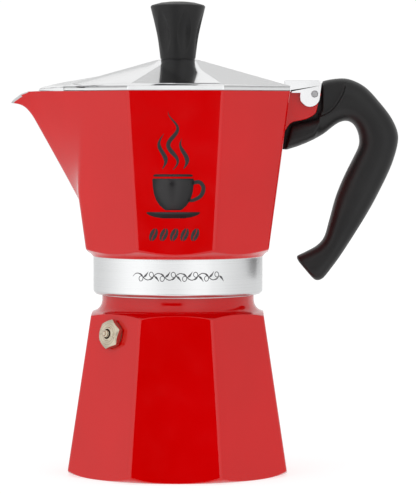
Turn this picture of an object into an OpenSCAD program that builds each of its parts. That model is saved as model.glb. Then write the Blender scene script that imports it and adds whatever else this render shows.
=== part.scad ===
// Stovetop moka pot, six cups: octagonal boiler and collector, funnel, filter,
// hinged lid, bent handle and spring-loaded safety valve.
// Millimetres. +Z is up, the origin is on the pot's axis at the boiler's foot,
// -X is the spout, +X the handle and -Y the front facet.

/* [Boiler] */
// Width across the flats of the boiler at its foot
boiler_foot_flats = 100; // [92:1:104]
// Width across the flats of the boiler at its shoulder
boiler_top_flats = 78; // [76:1:84]
// Height of the shoulder, where the facets end
shoulder_z = 74; // [73:0.5:75]
// Thickness of the cast walls of the boiler
boiler_wall = 3.2; // [2.6:0.1:3.6]

/* [Collar and thread] */
// Radius of the bare collar of the collector
collar_r = 38.7; // [38.4:0.1:40]
// Height of the collar's lower edge
collar_bottom_z = 82; // [80.5:0.1:82.4]
// Height of the collar's upper edge
collar_top_z = 98.9; // [98:0.1:99.4]
// Radius of the boiler's turned neck
neck_r = 34.7; // [34.5:0.1:34.8]
// Pitch of the thread
thread_pitch = 3; // [2.5:0.5:3]

/* [Collector] */
// Height at which the collector's facets begin
facet_start_z = 100.6; // [100:0.1:102]
// Width across the flats of the collector where its facets begin
collector_low_flats = 82.4; // [80:0.2:84]
// Width across the flats of the collector at its rim
collector_rim_flats = 102; // [100:0.2:103]
// Height of the collector's rim
rim_z = 174.2; // [173:0.1:175]
// Thickness of the cast walls of the collector
collector_wall = 2.6; // [2.2:0.1:3]
// Height of the top of the riser column
column_top_z = 152; // [140:1:158]

/* [Spout] */
// How far the tip of the spout is from the pot's axis
spout_reach = 76.3; // [74:0.1:78]
// Height of the spout's tip
spout_tip_z = 168.9; // [168:0.1:170]
// Half width of the spout's root at the rim
beak_rim_half_width = 22.1; // [21:0.1:22.3]

/* [Lid and knob] */
// Height of the lid's upper rim edge
lid_edge_z = 177; // [176.6:0.1:177.4]
// Height of the flat on top of the lid that the knob stands on
lid_top_z = 188.6; // [187:0.1:190]
// Thickness of the lid's sheet
lid_sheet = 1.6; // [1.2:0.1:2]
// Radius of the knob at its foot
knob_foot_r = 8; // [7.5:0.1:8.5]
// Radius of the knob at its head
knob_head_r = 12.5; // [11:0.1:13]
// Height of the knob
knob_h = 26.5; // [24:0.1:28]

/* [Hinge] */
// Distance of the hinge pin from the pot's axis
hinge_x = 62.2; // [62:0.1:62.6]
// Height of the hinge pin
hinge_z = 172.9; // [172.6:0.1:173]
// Radius of the hinge pin
pin_r = 1.3; // [1.2:0.05:1.5]

/* [Handle] */
// Half width of the handle at the grip
grip_half_width = 10.4; // [9.6:0.1:11]
// Half width of the handle's tongue between the lug's cheeks
tongue_half_width = 4; // [3.6:0.1:4]

/* [Funnel and filter] */
// Outer radius of the coffee basket
basket_r = 31.2; // [30:0.1:31.4]
// Height of the basket's floor edge, where its cone begins
basket_floor_z = 68; // [67.5:0.5:70]
// Height of the lower end of the funnel's stem
stem_bottom_z = 6.5; // [5:0.5:10]

/* [Safety valve] */
// Height of the middle of the valve's outer face
valve_z = 65.4; // [64:0.1:67]
// Width across the flats of the valve's hexagon
valve_hex_flats = 12; // [10:0.5:12]

/* [Hidden] */
$fn = 64;

paint_red = "#cc1216";
bare_aluminium = "#d5d6d8";
bakelite = "#2b2b2c";
nickel_brass = "#c9bf9f";
brass = "#c2a14d";
steel = "#a9abad";
rubber_white = "#e6e2d6";

big = 400;              // longer than the whole pot, for cutting tools
seam = 0.02;            // how far a cutting tool reaches past a face

// Heights inside the pot, from the boiler's rim upwards
boiler_rim_z = 92;
flange_h = 1;           // thickness of the basket's flange
gasket_h = 3.7;
plate_h = 0.8;
gasket_z = boiler_rim_z + flange_h;
plate_z = gasket_z + gasket_h;
collector_floor_z = 104;

// Radii of the sealing parts and of the thread
neck_bore_r = 32;
flange_r = 34.2;
gasket_r = 35.5;
gasket_bore_r = 28.5;
plate_r = 31;
outer_crest_r = 35.7;   // crests of the boiler's thread
inner_crest_r = 35.85;  // crests of the collector's thread, clear of the boiler's
inner_root_r = 36.6;

// Hinge stack, as distances from the middle plane of the handle
cheek_gap = 0.15;       // tongue to cheek
cheek_in = tongue_half_width + cheek_gap;
cheek_out = 7.4;
ear_in = 7.7;
ear_out = 10;
web_half_width = 7.45;
pin_half_length = 10.6;

valve_tilt = atan((boiler_foot_flats - boiler_top_flats) / 2 / shoulder_z);
valve_hex_h = 3;
valve_washer_h = 0.6;
valve_length = 10.2;    // outer face to inner end
valve_face_r = boiler_half_flats(valve_z) + (valve_hex_h + valve_washer_h) / cos(valve_tilt);

function mix(a, b, t) = a + (b - a) * t;
function boiler_half_flats(z) = mix(boiler_foot_flats, boiler_top_flats, z / shoulder_z) / 2;
function collector_half_flats(z) =
    mix(collector_low_flats, collector_rim_flats, (z - facet_start_z) / (rim_z - facet_start_z)) / 2;

// Points on an arc in the plane of a profile, both ends included
function arc(centre, r, from, to, steps = 8) =
    [for (i = [0:steps]) let (a = mix(from, to, i / steps)) centre + r * [cos(a), sin(a)]];

// Straight-sided octagonal body between two heights, with one facet square to each axis
module octagon(low_half, high_half, z0, z1) {
    intersection_for (turn = [0:45:135])
        rotate([90, 0, turn])
            linear_extrude(height = big, center = true)
                polygon([[-low_half, z0], [low_half, z0], [high_half, z1], [-high_half, z1]]);
}

// Solid of revolution about Z from a profile of [radius, height] points
module turned(profile) {
    rotate_extrude($fn = 96) polygon(profile);
}

// Closed skin through rings of points that all have the same number of points
module skin(rings) {
    sides = len(rings[0]);
    last = len(rings) - 1;
    side_faces = [for (k = [0:last - 1], i = [0:sides - 1])
        let (j = (i + 1) % sides) each [
            [k * sides + i, k * sides + j, (k + 1) * sides + j],
            [k * sides + i, (k + 1) * sides + j, (k + 1) * sides + i]]];
    first_cap = [for (i = [1:sides - 2]) [0, i + 1, i]];
    last_cap = [for (i = [1:sides - 2]) [last * sides, last * sides + i, last * sides + i + 1]];
    polyhedron([for (ring = rings) each ring], concat(side_faces, first_cap, last_cap));
}

// Ring-shaped thread crests, outside (dir 1) or inside (dir -1) a cylinder
module thread_crests(root_r, crest_r, first_z, count) {
    half_foot = 1.1;
    half_crest = 0.5;
    for (i = [0:count - 1])
        translate([0, 0, first_z + i * thread_pitch])
            turned([[root_r, -half_foot], [crest_r, -half_crest],
                    [crest_r, half_crest], [root_r, half_foot]]);
}

// ---- Boiler ----

module boiler_outside() {
    shoulder_half = boiler_top_flats / 2;
    neck_fillet = 4.4;
    intersection() {
        octagon(boiler_half_flats(0), boiler_half_flats(shoulder_z + 3), 0, shoulder_z + 3);
        turned(concat(
            [[0, 0], [boiler_foot_flats / 2 - 1, 0]],
            [[boiler_foot_flats / 2 + 1.6, 0.9], [boiler_foot_flats / 2 + 4.6, 3.4]],
            [[60, 30], [shoulder_half + 7, shoulder_z - 3.6], [shoulder_half + 3.2, shoulder_z - 1.5]],
            [[shoulder_half, shoulder_z]],
            arc([neck_r + neck_fillet, shoulder_z + neck_fillet], neck_fillet, 270, 225, 4),
            [[0, shoulder_z + 2]]));
    }
    turned(concat(
        [[0, shoulder_z - 10], [shoulder_half - 2, shoulder_z - 10], [shoulder_half - 1, shoulder_z]],
        arc([neck_r + neck_fillet, shoulder_z + neck_fillet], neck_fillet, 268, 180),
        [[neck_r, boiler_rim_z - 0.6], [neck_r - 0.6, boiler_rim_z], [0, boiler_rim_z]]));
    thread_crests(neck_r - 0.3, outer_crest_r, 83.6, 3);
}

module boiler_inside() {
    floor_z = 3.6;
    top_z = shoulder_z - 4;
    intersection() {
        octagon(boiler_half_flats(floor_z) - boiler_wall, boiler_half_flats(top_z) - boiler_wall,
                floor_z, top_z);
        turned([[0, floor_z], [44, floor_z], [47.5, floor_z + 4],
                [44, top_z - 8], [38, top_z], [0, top_z]]);
    }
    turned([[0, top_z - 5], [36.4, top_z - 5], [neck_bore_r + 0.6, top_z + 4], [neck_bore_r, top_z + 7],
            [neck_bore_r, boiler_rim_z + 1], [0, boiler_rim_z + 1]]);
}

module boiler() {
    color(paint_red)
        difference() {
            boiler_outside();
            boiler_inside();
            at_valve() cylinder(r = valve_shank_r, h = 2 * valve_length, center = true);
        }
}

// ---- Safety valve, drawn along +Z, outer face at zero, pointing out of the pot ----

valve_shank_r = 4.6;
valve_mouth_r = 2.25;
valve_chamber_r = 3.1;
valve_chamber_top = -1.6;
valve_seat_h = 1;
piston_pin_r = 1.65;
piston_disc_r = 2.85;
piston_disc_h = 1.3;
piston_out = 2.8;       // how far the pin stands out of the hexagon

module at_valve() {
    rotate([0, 0, 225])
        translate([valve_face_r, 0, valve_z])
            rotate([0, 90 - valve_tilt, 0])
                children();
}

module valve_body() {
    hex_r = valve_hex_flats / 2 / cos(30);
    color(nickel_brass)
        at_valve()
            difference() {
                union() {
                    intersection() {
                        translate([0, 0, -valve_hex_h]) rotate([0, 0, 15])
                            cylinder(r = hex_r, h = valve_hex_h, $fn = 6);
                        turned([[0, -valve_hex_h], [hex_r + 1, -valve_hex_h],
                                [hex_r + 1, -1], [hex_r - 1, 0], [0, 0]]);
                    }
                    translate([0, 0, -valve_length])
                        cylinder(r = valve_shank_r, h = valve_length - valve_hex_h + seam);
                }
                turned([[0, -valve_length - 1], [valve_chamber_r, -valve_length - 1],
                        [valve_chamber_r, valve_chamber_top], [valve_mouth_r, valve_chamber_top],
                        [valve_mouth_r, 1], [0, 1]]);
                // groove turned into the outer face
                turned([[4.1, -0.35], [4.6, -0.35], [4.6, 1], [4.1, 1]]);
            }
}

module valve_washer() {
    color("#7a2f1e")
        at_valve()
            turned([[valve_shank_r, -valve_hex_h - valve_washer_h],
                    [valve_hex_flats / 2, -valve_hex_h - valve_washer_h],
                    [valve_hex_flats / 2, -valve_hex_h], [valve_shank_r, -valve_hex_h]]);
}

module valve_seat() {
    color(brass)
        at_valve()
            translate([0, 0, -valve_length])
                difference() {
                    cylinder(r = valve_chamber_r, h = valve_seat_h);
                    translate([0, 0, -1]) cylinder(r = 1.4, h = valve_seat_h + 2);
                }
}

// Closed coil spring between the chamber's shoulder and the piston's disc
module valve_spring() {
    wire_r = 0.22;
    coil_r = 2.4;
    turns = 4.5;
    steps_per_turn = 16;
    low = -valve_length + valve_seat_h + piston_disc_h + wire_r + 0.05;
    high = valve_chamber_top - wire_r - 0.05;
    steps = turns * steps_per_turn;
    color(steel)
        at_valve()
            skin([for (i = [0:steps]) let (a = 360 * i / steps_per_turn, z = mix(low, high, i / steps))
                [for (s = [0:45:315]) [
                    (coil_r + wire_r * cos(s)) * cos(a),
                    (coil_r + wire_r * cos(s)) * sin(a),
                    z + wire_r * sin(s)]]]);
}

module valve_piston() {
    disc_low = -valve_length + valve_seat_h;
    color(nickel_brass)
        at_valve()
            turned([[0, disc_low], [piston_disc_r, disc_low], [piston_disc_r, disc_low + piston_disc_h],
                    [piston_pin_r, disc_low + piston_disc_h], [piston_pin_r, piston_out - 0.4],
                    [piston_pin_r - 0.4, piston_out], [0, piston_out]]);
}

// ---- Funnel ----

basket_sheet = 0.9;
stem_r = 5;
stem_bore_r = 4.1;
cone_bottom_z = basket_floor_z - 10;

module funnel_cup() {
    color(bare_aluminium)
        turned([
            [stem_r, cone_bottom_z], [basket_r, basket_floor_z], [basket_r, boiler_rim_z],
            [flange_r, boiler_rim_z], [flange_r, boiler_rim_z + flange_h],
            [basket_r - basket_sheet, boiler_rim_z + flange_h],
            [basket_r - basket_sheet, basket_floor_z + 0.5], [stem_r, cone_bottom_z + 1]]);
}

module funnel_stem() {
    color(bare_aluminium)
        turned([
            [stem_bore_r, stem_bottom_z], [stem_r, stem_bottom_z], [stem_r, cone_bottom_z + 1.4],
            [stem_bore_r, cone_bottom_z + 1.4]]);
}

// Rings of holes, six more in each ring than in the one inside it
module hole_rings(rings, spacing, hole_r, z, h) {
    for (ring = [0:rings]) {
        count = max(1, 6 * ring);
        for (i = [0:count - 1])
            rotate([0, 0, 360 * i / count])
                translate([ring * spacing, 0, z])
                    cylinder(r = hole_r, h = h, $fn = 16);
    }
}

module funnel_sieve() {
    sieve_z = basket_floor_z + 0.6;
    sieve_r = basket_r - basket_sheet - 0.05;
    color(steel)
        difference() {
            translate([0, 0, sieve_z]) cylinder(r = sieve_r, h = 0.7);
            hole_rings(3, 7.5, 1, sieve_z - 1, 3);
        }
}

// ---- Seal ----

module gasket() {
    color(rubber_white)
        turned([
            [gasket_bore_r, gasket_z], [gasket_r, gasket_z],
            [gasket_r, gasket_z + gasket_h], [gasket_bore_r, gasket_z + gasket_h]]);
}

module filter_plate() {
    color(steel)
        difference() {
            translate([0, 0, plate_z]) cylinder(r = plate_r, h = plate_h, $fn = 96);
            hole_rings(3, 7.5, 0.9, plate_z - 1, 3);
        }
}

// ---- Collector ----

column_foot_r = 6.2;
column_top_r = 5.2;
column_bore_r = 3.4;
cap_h = 7;

// The spout is a beak on the left facet: at each height a wedge, from a keel to a root
// inside the body. The keel rises at a straight slope and then turns out into a lip.
// Each level is [height, reach of the keel].
beak_levels = [
    [121, 43], [131, 48.4], [146, 56.8], [161.8, 65.6], [164.2, 67.2], [166.8, 69.6], [168.3, 72.4],
    [spout_tip_z, spout_reach], [rim_z + 2, spout_reach]];
beak_low_z = 129;           // height at which the beak is as wide as the left facet
beak_low_half_width = 17.6; // half width of its root there

// Level slice through the beak; wall is how much thinner it is on each side
function beak_slice(z, reach, wall) =
    let (
        half = collector_half_flats(z),
        root_x = half - (wall > 0 ? 5 : 1.5),
        root_y = mix(beak_low_half_width, beak_rim_half_width, (z - beak_low_z) / (rim_z - beak_low_z))
            - (wall > 0 ? 1 : 0),
        tip_x = reach - 1.3 * wall)
    [
        [-root_x, -root_y, z], [-tip_x, -1, z], [-tip_x, 1, z], [-root_x, root_y, z],
        [-root_x + 9, root_y / 2, z], [-root_x + 9, -root_y / 2, z]];

module beak(first_level, wall, lift) {
    skin([for (i = [first_level:len(beak_levels) - 1])
        [for (p = beak_slice(beak_levels[i][0], beak_levels[i][1], wall)) p + [0, 0, lift]]]);
}

// What lies above the rim, and above the falling rim line of the spout near its tip
module rim_trim() {
    rotate([90, 0, 0])
        linear_extrude(height = big, center = true)
            polygon([[-90, spout_tip_z - 1], [-spout_reach + 0.4, spout_tip_z + 0.2], [-72.6, 172.2],
                     [-68.6, rim_z - 0.25], [-64, rim_z], [90, rim_z], [90, 200], [-90, 200]]);
}

// One of the two cheeks of the hinge lug, and its place
module lug_outline() {
    polygon(concat(
        [[44, 156], [48.8, 156], [51.2, 159.6], [52.8, 160.4], [58.6, 161.6], [62.9, 164.2], [63.4, 167.4]],
        arc([hinge_x, hinge_z], 2.9, -40, 90),
        [[56, 174], [44, 174]]));
}

module collector_outside() {
    low_z = collar_top_z;
    difference() {
        union() {
            intersection() {
                octagon(collector_half_flats(low_z - 1), collector_half_flats(rim_z + 2),
                        low_z - 1, rim_z + 2);
                turned([[0, low_z], [collar_r + 0.5, low_z], [collector_low_flats / 2, low_z + 1.7],
                        [collector_low_flats / 2 + 3.4, low_z + 3.8], [80, low_z + 40],
                        [80, rim_z + 3], [0, rim_z + 3]]);
            }
            beak(0, 0, 0);
        }
        rim_trim();
    }
    turned([[0, collar_bottom_z], [collar_r - 1.2, collar_bottom_z],
            [collar_r, collar_bottom_z + 1.4], [collar_r, low_z + seam], [0, low_z + seam]]);
    for (side = [-1, 1])
        translate([0, side * (cheek_in + cheek_out) / 2, 0])
            rotate([90, 0, 0])
                linear_extrude(height = cheek_out - cheek_in, center = true)
                    lug_outline();
}

module collector_inside() {
    lip = 1.6;              // thickness of the floor of the spout
    intersection() {
        octagon(collector_half_flats(collector_floor_z) - collector_wall,
                collector_half_flats(rim_z + 1) - collector_wall, collector_floor_z, rim_z + 1);
        turned([[0, collector_floor_z], [35, collector_floor_z], [39, collector_floor_z + 4],
                [60, collector_floor_z + 40], [60, rim_z + 2], [0, rim_z + 2]]);
    }
    beak(1, collector_wall - 0.4, lip + 0.2);
    // seat of gasket and filter plate, and the dome that leads to the column
    turned([[0, 0], [inner_root_r, 0], [inner_root_r, plate_z], [plate_r + 0.3, plate_z],
            [plate_r + 0.3, plate_z + plate_h], [27, plate_z + plate_h], [7, 100.8],
            [column_bore_r, 100.8], [0, 100.8]]);
    // socket that the column is pressed into
    translate([0, 0, 100.7]) cylinder(r = column_foot_r, h = 10);
}

module collector() {
    color(paint_red) {
        difference() {
            collector_outside();
            collector_inside();
            translate([hinge_x, 0, hinge_z]) rotate([90, 0, 0])
                cylinder(r = pin_r, h = 4 * cheek_out, center = true);
        }
        difference() {
            thread_crests(inner_root_r + 0.3, inner_crest_r, 85.1, 2);
            turned([[0, 0], [inner_crest_r, 0], [inner_crest_r, 200], [0, 200]]);
        }
    }
}

module riser_column() {
    foot_z = 100.8;
    color(bare_aluminium)
        turned([
            [column_bore_r, foot_z], [column_foot_r, foot_z], [column_foot_r, collector_floor_z + 1.5],
            [column_top_r, collector_floor_z + 8], [column_top_r, column_top_z],
            [column_bore_r, column_top_z]]);
}

// Cap with two side windows that the coffee runs out of
module riser_cap() {
    cap_r = column_top_r + 0.9;
    color(bare_aluminium)
        difference() {
            turned([
                [column_top_r, column_top_z - 3], [cap_r, column_top_z - 3], [cap_r, column_top_z + cap_h - 2],
                [cap_r - 1.6, column_top_z + cap_h], [0, column_top_z + cap_h],
                [0, column_top_z + cap_h - 1], [column_top_r, column_top_z + cap_h - 2]]);
            for (turn = [0, 90])
                rotate([0, 0, turn])
                    translate([-10, -2, column_top_z + 0.6]) cube([20, 4, 3.2]);
        }
}

// ---- Handle ----

// Rungs across the handle from its inner to its outer edge, in the XZ plane, and the half width
handle_rungs = [
    [[49.1, 147.4], [52.3, 159.2], 9.2],
    [[54.3, 149.0], [56.6, 160.2], 9.6],
    [[58.4, 150.6], [60.6, 161.0], 10],
    [[61.9, 152.2], [64.6, 162.4], 10.4],
    [[64.8, 153.8], [66.0, 178.8], 10.8],
    [[67.4, 155.5], [70.0, 179.7], 10.8],
    [[71.4, 158.7], [76.0, 180.1], 10.8],
    [[74.6, 160.4], [81.0, 178.7], 10.8],
    [[77.6, 160.6], [86.1, 175.6], 10.8],
    [[80.2, 159.1], [91.6, 169.7], 10.7],
    [[82.0, 155.9], [97.1, 162.6], 10.6],
    [[82.8, 151.9], [100.2, 155.8], grip_half_width],
    [[82.2, 148.4], [100.2, 149.8], grip_half_width],
    [[79.7, 143.2], [97.5, 140.6], grip_half_width],
    [[75.6, 134.9], [93.0, 130.8], grip_half_width],
    [[72.0, 125.9], [87.1, 119.6], 10],
    [[69.1, 115.4], [79.8, 107.7], 9.4],
    [[66.9, 107.9], [74.0, 98.8], 8.8],
    [[63.8, 104.1], [69.9, 93.2], 8.4],
    [[59.4, 101.5], [66.4, 88.9], 8],
    [[54.4, 99.1], [64.0, 87.8], 7.4]];

// Rounded cross-section on a rung: a squarish ellipse
function rung_ring(rung, sides = 24) =
    let (
        inner = rung[0], outer = rung[1], half = (outer - inner) / 2, middle = (inner + outer) / 2,
        power = 0.8)
    [for (i = [0:sides - 1]) let (
        a = 360 * i / sides,
        u = sign(cos(a)) * pow(abs(cos(a)), power),
        v = sign(sin(a)) * pow(abs(sin(a)), power),
        p = middle + half * u)
        [p[0], v * rung[2], p[1]]];

// Room for the cheeks (down to the tongue) and for the swinging ears (down to the web)
cheek_room = [[40, 157], [51.9, 159], [56, 160.1], [60, 161.3],
              [63.6, 163.2], [66, 166], [66, 190], [40, 190]];
ear_room = [[40, 157], [51.9, 159], [56, 160.1], [60, 161.3], [65, 162.6], [69.8, 165.1], [73.3, 169.5],
            [75.6, 173.8], [76.2, 176], [76.2, 190], [40, 190]];

module side_room(outline, from_y) {
    for (side = [0, 1])
        mirror([0, side, 0])
            translate([0, -from_y, 0])
                rotate([90, 0, 0])
                    linear_extrude(height = 20) polygon(outline);
}

module tongue() {
    rotate([90, 0, 0])
        linear_extrude(height = 2 * tongue_half_width, center = true)
            polygon(concat(
                [[48, 147.6], [49.6, 159], [50.8, 166.5]],
                arc([hinge_x, hinge_z], 4.6, 160, 90),
                [[66.6, 177.2], [70, 170], [66, 156], [56, 150]]));
}

module handle() {
    color(bakelite)
        difference() {
            union() {
                difference() {
                    skin([for (rung = handle_rungs) rung_ring(rung)]);
                    side_room(cheek_room, tongue_half_width);
                    side_room(ear_room, web_half_width);
                }
                tongue();
            }
            translate([hinge_x, 0, hinge_z]) rotate([90, 0, 0])
                cylinder(r = pin_r, h = 60, center = true);
        }
}

module hinge_pin() {
    color(steel)
        translate([hinge_x, 0, hinge_z])
            rotate([90, 0, 0])
                cylinder(r = pin_r, h = 2 * pin_half_length, center = true);
}

// ---- Lid ----

lid_seat_z = rim_z + 0.1;
lid_half_flats = 51;
lid_break_half_flats = 47.6;    // where the flat rim turns up into the pyramid
lid_flat_r = 9;
ear_clearance = 0.06;
ear_x = 51.5;                   // where the ears start, behind the bridge that joins them
ear_top_z = hinge_z + 6.2;
bridge_x = 48.6;

module ear_outline(from_x) {
    polygon(concat(
        [[from_x, hinge_z + 0.4], [hinge_x - 6.7, hinge_z + 0.4]],
        arc([hinge_x - 2.2, hinge_z - 1.2], 4.7, 170, 340, 12),
        arc([hinge_x + 1.3, hinge_z + 4.4], 1.8, 0, 90, 5),
        [[from_x, ear_top_z]]));
}

// Cover of the spout: ridged gable over the beak, drawn at a height below its true one for the inside
module spout_cover(down, inset) {
    nose_x = -63 + inset;
    nose_w = 9 - inset;
    end_x = -57.2;
    end_w = 14.6 - inset;
    root_x = -41.4;
    root_w = 30.6 - inset;
    low = lid_seat_z - 0.5 * down;
    edge = lid_edge_z - 0.6 - down;
    hull()
        polyhedron(
            [[end_x, -end_w, low], [end_x, end_w, low], [root_x, root_w, low], [0, 30.6 - inset, low],
             [0, -30.6 + inset, low], [root_x, -root_w, low], [nose_x, -nose_w, low], [nose_x, nose_w, low],
             [end_x, -end_w, edge - 0.6], [end_x, end_w, edge - 0.6], [root_x, root_w, edge], [0, 26, edge],
             [0, -26, edge], [root_x, -root_w, edge],
             [nose_x, -nose_w, edge - 1.2], [nose_x, nose_w, edge - 1.2],
             [nose_x + 0.6, 0, 176 - down], [end_x, 0, 177.3 - down], [-53.6, 0, 178.1 - down],
             [-32, 0, 181.8 - down], [0, 0, 183 - down]],
            [for (i = [0:3:18]) [i, i + 1, i + 2]]);
}

module lid_outside() {
    octagon(lid_half_flats, lid_half_flats, lid_seat_z, lid_edge_z - 0.7);
    octagon(lid_half_flats, lid_break_half_flats, lid_edge_z - 0.7, lid_edge_z + 0.4);
    octagon(lid_break_half_flats, lid_flat_r, lid_edge_z + 0.4, lid_top_z);
    spout_cover(0, 0);
    // bridge and ears of the hinge
    translate([bridge_x, -ear_out, lid_seat_z])
        cube([ear_x + 1.1 - bridge_x, 2 * ear_out, ear_top_z - lid_seat_z]);
    for (side = [-1, 1])
        translate([0, side * (ear_in + ear_out) / 2, 0])
            rotate([90, 0, 0])
                linear_extrude(height = ear_out - ear_in, center = true)
                    ear_outline(ear_x);
}

module lid_inside() {
    rim_w = 3;
    translate([0, 0, -1])
        octagon(lid_half_flats - rim_w, lid_half_flats - rim_w, lid_seat_z, lid_edge_z - 0.4);
    octagon(lid_half_flats - rim_w, lid_flat_r, lid_edge_z - 1.5, lid_top_z - lid_sheet);
    spout_cover(lid_sheet, 1.8);
}

module lid() {
    color(bare_aluminium)
        difference() {
            lid_outside();
            lid_inside();
            cylinder(r = 2.2, h = big);
            translate([hinge_x, 0, hinge_z]) rotate([90, 0, 0])
                cylinder(r = pin_r + ear_clearance, h = 4 * ear_out, center = true);
        }
}

// ---- Knob ----

insert_r = 3.2;
insert_h = 10;
screw_r = 1.95;
flute_count = 6;

module knob() {
    foot_z = lid_top_z;
    head_z = foot_z + knob_h - 2.2;
    flute_r = 6;
    lean = atan((knob_head_r - knob_foot_r) / (knob_h - 2.2));
    color(bakelite)
        difference() {
            turned([
                [0, foot_z], [knob_foot_r - 0.4, foot_z], [knob_foot_r, foot_z + 0.6], [knob_head_r, head_z],
                [knob_head_r - 0.5, head_z + 0.8], [knob_head_r - 3, head_z + 1.7], [5, knob_h + foot_z - 0.1],
                [0, knob_h + foot_z]]);
            for (i = [0:flute_count - 1])
                rotate([0, 0, 20 - 90 + 360 * i / flute_count])
                    translate([knob_foot_r + flute_r - 0.7, 0, foot_z + 4])
                        rotate([0, lean + 1.4, 0])
                            cylinder(r = flute_r, h = 16);
            translate([0, 0, foot_z - 1]) cylinder(r = insert_r, h = insert_h + 1);
        }
}

module knob_insert() {
    color(brass)
        translate([0, 0, lid_top_z])
            difference() {
                cylinder(r = insert_r, h = insert_h);
                translate([0, 0, -1]) cylinder(r = screw_r, h = insert_h);
            }
}

washer_h = 0.8;

module knob_washer() {
    color(steel)
        translate([0, 0, lid_top_z - lid_sheet - washer_h])
            difference() {
                cylinder(r = 4.6, h = washer_h);
                translate([0, 0, -1]) cylinder(r = 2.2, h = 3);
            }
}

module knob_screw() {
    under_z = lid_top_z - lid_sheet - washer_h;
    head_h = 2.2;
    head_r = 3.6;
    color(steel)
        difference() {
            turned([[0, under_z - head_h], [head_r - 0.8, under_z - head_h], [head_r, under_z - head_h + 0.8],
                    [head_r, under_z], [screw_r, under_z], [screw_r, lid_top_z + insert_h - 2],
                    [0, lid_top_z + insert_h - 2]]);
            translate([-head_r, -0.5, under_z - head_h - 1]) cube([2 * head_r, 1, 2]);
        }
}

boiler();
valve_body();
valve_washer();
valve_seat();
valve_spring();
valve_piston();
funnel_cup();
funnel_stem();
funnel_sieve();
gasket();
filter_plate();
collector();
riser_column();
riser_cap();
handle();
hinge_pin();
lid();
knob();
knob_insert();
knob_screw();
knob_washer();
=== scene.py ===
import math

import bmesh
import bpy
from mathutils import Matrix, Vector


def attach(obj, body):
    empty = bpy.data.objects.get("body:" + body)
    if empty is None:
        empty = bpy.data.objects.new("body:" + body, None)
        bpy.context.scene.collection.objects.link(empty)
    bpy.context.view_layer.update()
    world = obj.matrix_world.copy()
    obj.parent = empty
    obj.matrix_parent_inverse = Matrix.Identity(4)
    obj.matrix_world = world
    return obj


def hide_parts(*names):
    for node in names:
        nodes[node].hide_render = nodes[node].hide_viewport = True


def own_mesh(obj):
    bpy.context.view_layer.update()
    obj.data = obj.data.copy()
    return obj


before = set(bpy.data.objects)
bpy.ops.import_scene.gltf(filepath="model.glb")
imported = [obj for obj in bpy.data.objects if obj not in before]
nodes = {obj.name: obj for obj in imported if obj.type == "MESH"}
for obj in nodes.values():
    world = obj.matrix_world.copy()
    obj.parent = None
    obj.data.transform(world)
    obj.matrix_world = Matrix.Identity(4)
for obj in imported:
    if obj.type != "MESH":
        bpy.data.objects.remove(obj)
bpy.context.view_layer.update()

# Moka pot. Sizes in this script are in millimetres and become metres in add_mesh().
# +Z is up, -X is the spout, +X the handle and -Y the front facet.

MM = 0.001


# ---------------------------------------------------------------- numbers and curves

def mix(a, b, t):
    return a + (b - a) * t


def smooth(a, b, x):
    t = min(max((x - a) / (b - a), 0.0), 1.0)
    return t * t * (3 - 2 * t)


def along(points, x):
    """y on a polyline of (x, y) points with rising x."""
    if x <= points[0][0]:
        return points[0][1]
    for (x0, y0), (x1, y1) in zip(points, points[1:]):
        if x <= x1:
            return mix(y0, y1, (x - x0) / (x1 - x0))
    return points[-1][1]


def spline(points, steps):
    """Catmull-Rom curve through points of any dimension."""
    out = []
    last = len(points) - 1
    for i in range(last):
        p0, p1, p2, p3 = (points[max(i - 1, 0)], points[i], points[i + 1], points[min(i + 2, last)])
        for k in range(steps):
            t = k / steps
            out.append(tuple(
                0.5 * (2 * b + (c - a) * t + (2 * a - 5 * b + 4 * c - d) * t * t
                       + (3 * b - a - 3 * c + d) * t ** 3)
                for a, b, c, d in zip(p0, p1, p2, p3)))
    out.append(tuple(points[last]))
    return out


def bend(p, q, r, steps):
    """Points of a quadratic curve from p to r that is pulled towards q."""
    return [p * (1 - t) ** 2 + q * 2 * t * (1 - t) + r * t * t for t in (k / steps for k in range(steps + 1))]


def round_corners(points, radii, steps, closed):
    """A path with its corners rounded, and for each new point which old one it belongs to."""
    n = len(points)
    path, owner = [], []
    for i, p in enumerate(points):
        ends = not closed and i in (0, n - 1)
        if ends or radii[i] <= 0:
            path.append(p)
            owner.append(i)
            continue
        before, after = points[i - 1], points[(i + 1) % n]
        r = min(radii[i], 0.48 * (p - before).length, 0.48 * (after - p).length)
        path += bend(p + (before - p).normalized() * r, p, p + (after - p).normalized() * r, steps)
        owner += [i] * (steps + 1)
    return path, owner


# ---------------------------------------------------------------- meshes

def add_mesh(name, verts, faces, materials, indices=None, weighted=True):
    mesh = bpy.data.meshes.new(name)
    mesh.from_pydata([Vector(v) * MM for v in verts], [], faces)
    for m in materials:
        mesh.materials.append(m)
    if indices:
        mesh.polygons.foreach_set("material_index", indices)
    bm = bmesh.new()
    bm.from_mesh(mesh)
    bmesh.ops.remove_doubles(bm, verts=bm.verts, dist=1e-7)
    bmesh.ops.recalc_face_normals(bm, faces=bm.faces)
    for f in bm.faces:
        f.smooth = True
    bm.to_mesh(mesh)
    bm.free()
    obj = bpy.data.objects.new(name, mesh)
    bpy.context.scene.collection.objects.link(obj)
    if weighted:
        weigh(obj)
    return obj


def weigh(obj):
    normals = obj.modifiers.new("even normals", "WEIGHTED_NORMAL")
    normals.mode = "FACE_AREA"
    normals.weight = 100
    normals.keep_sharp = True


def soften(obj, width, segments=2, angle=24):
    bevel = obj.modifiers.new("soft edges", "BEVEL")
    bevel.limit_method = "ANGLE"
    bevel.angle_limit = math.radians(angle)
    bevel.width = width * MM
    bevel.segments = segments
    bevel.use_clamp_overlap = False
    weigh(obj)


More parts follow.
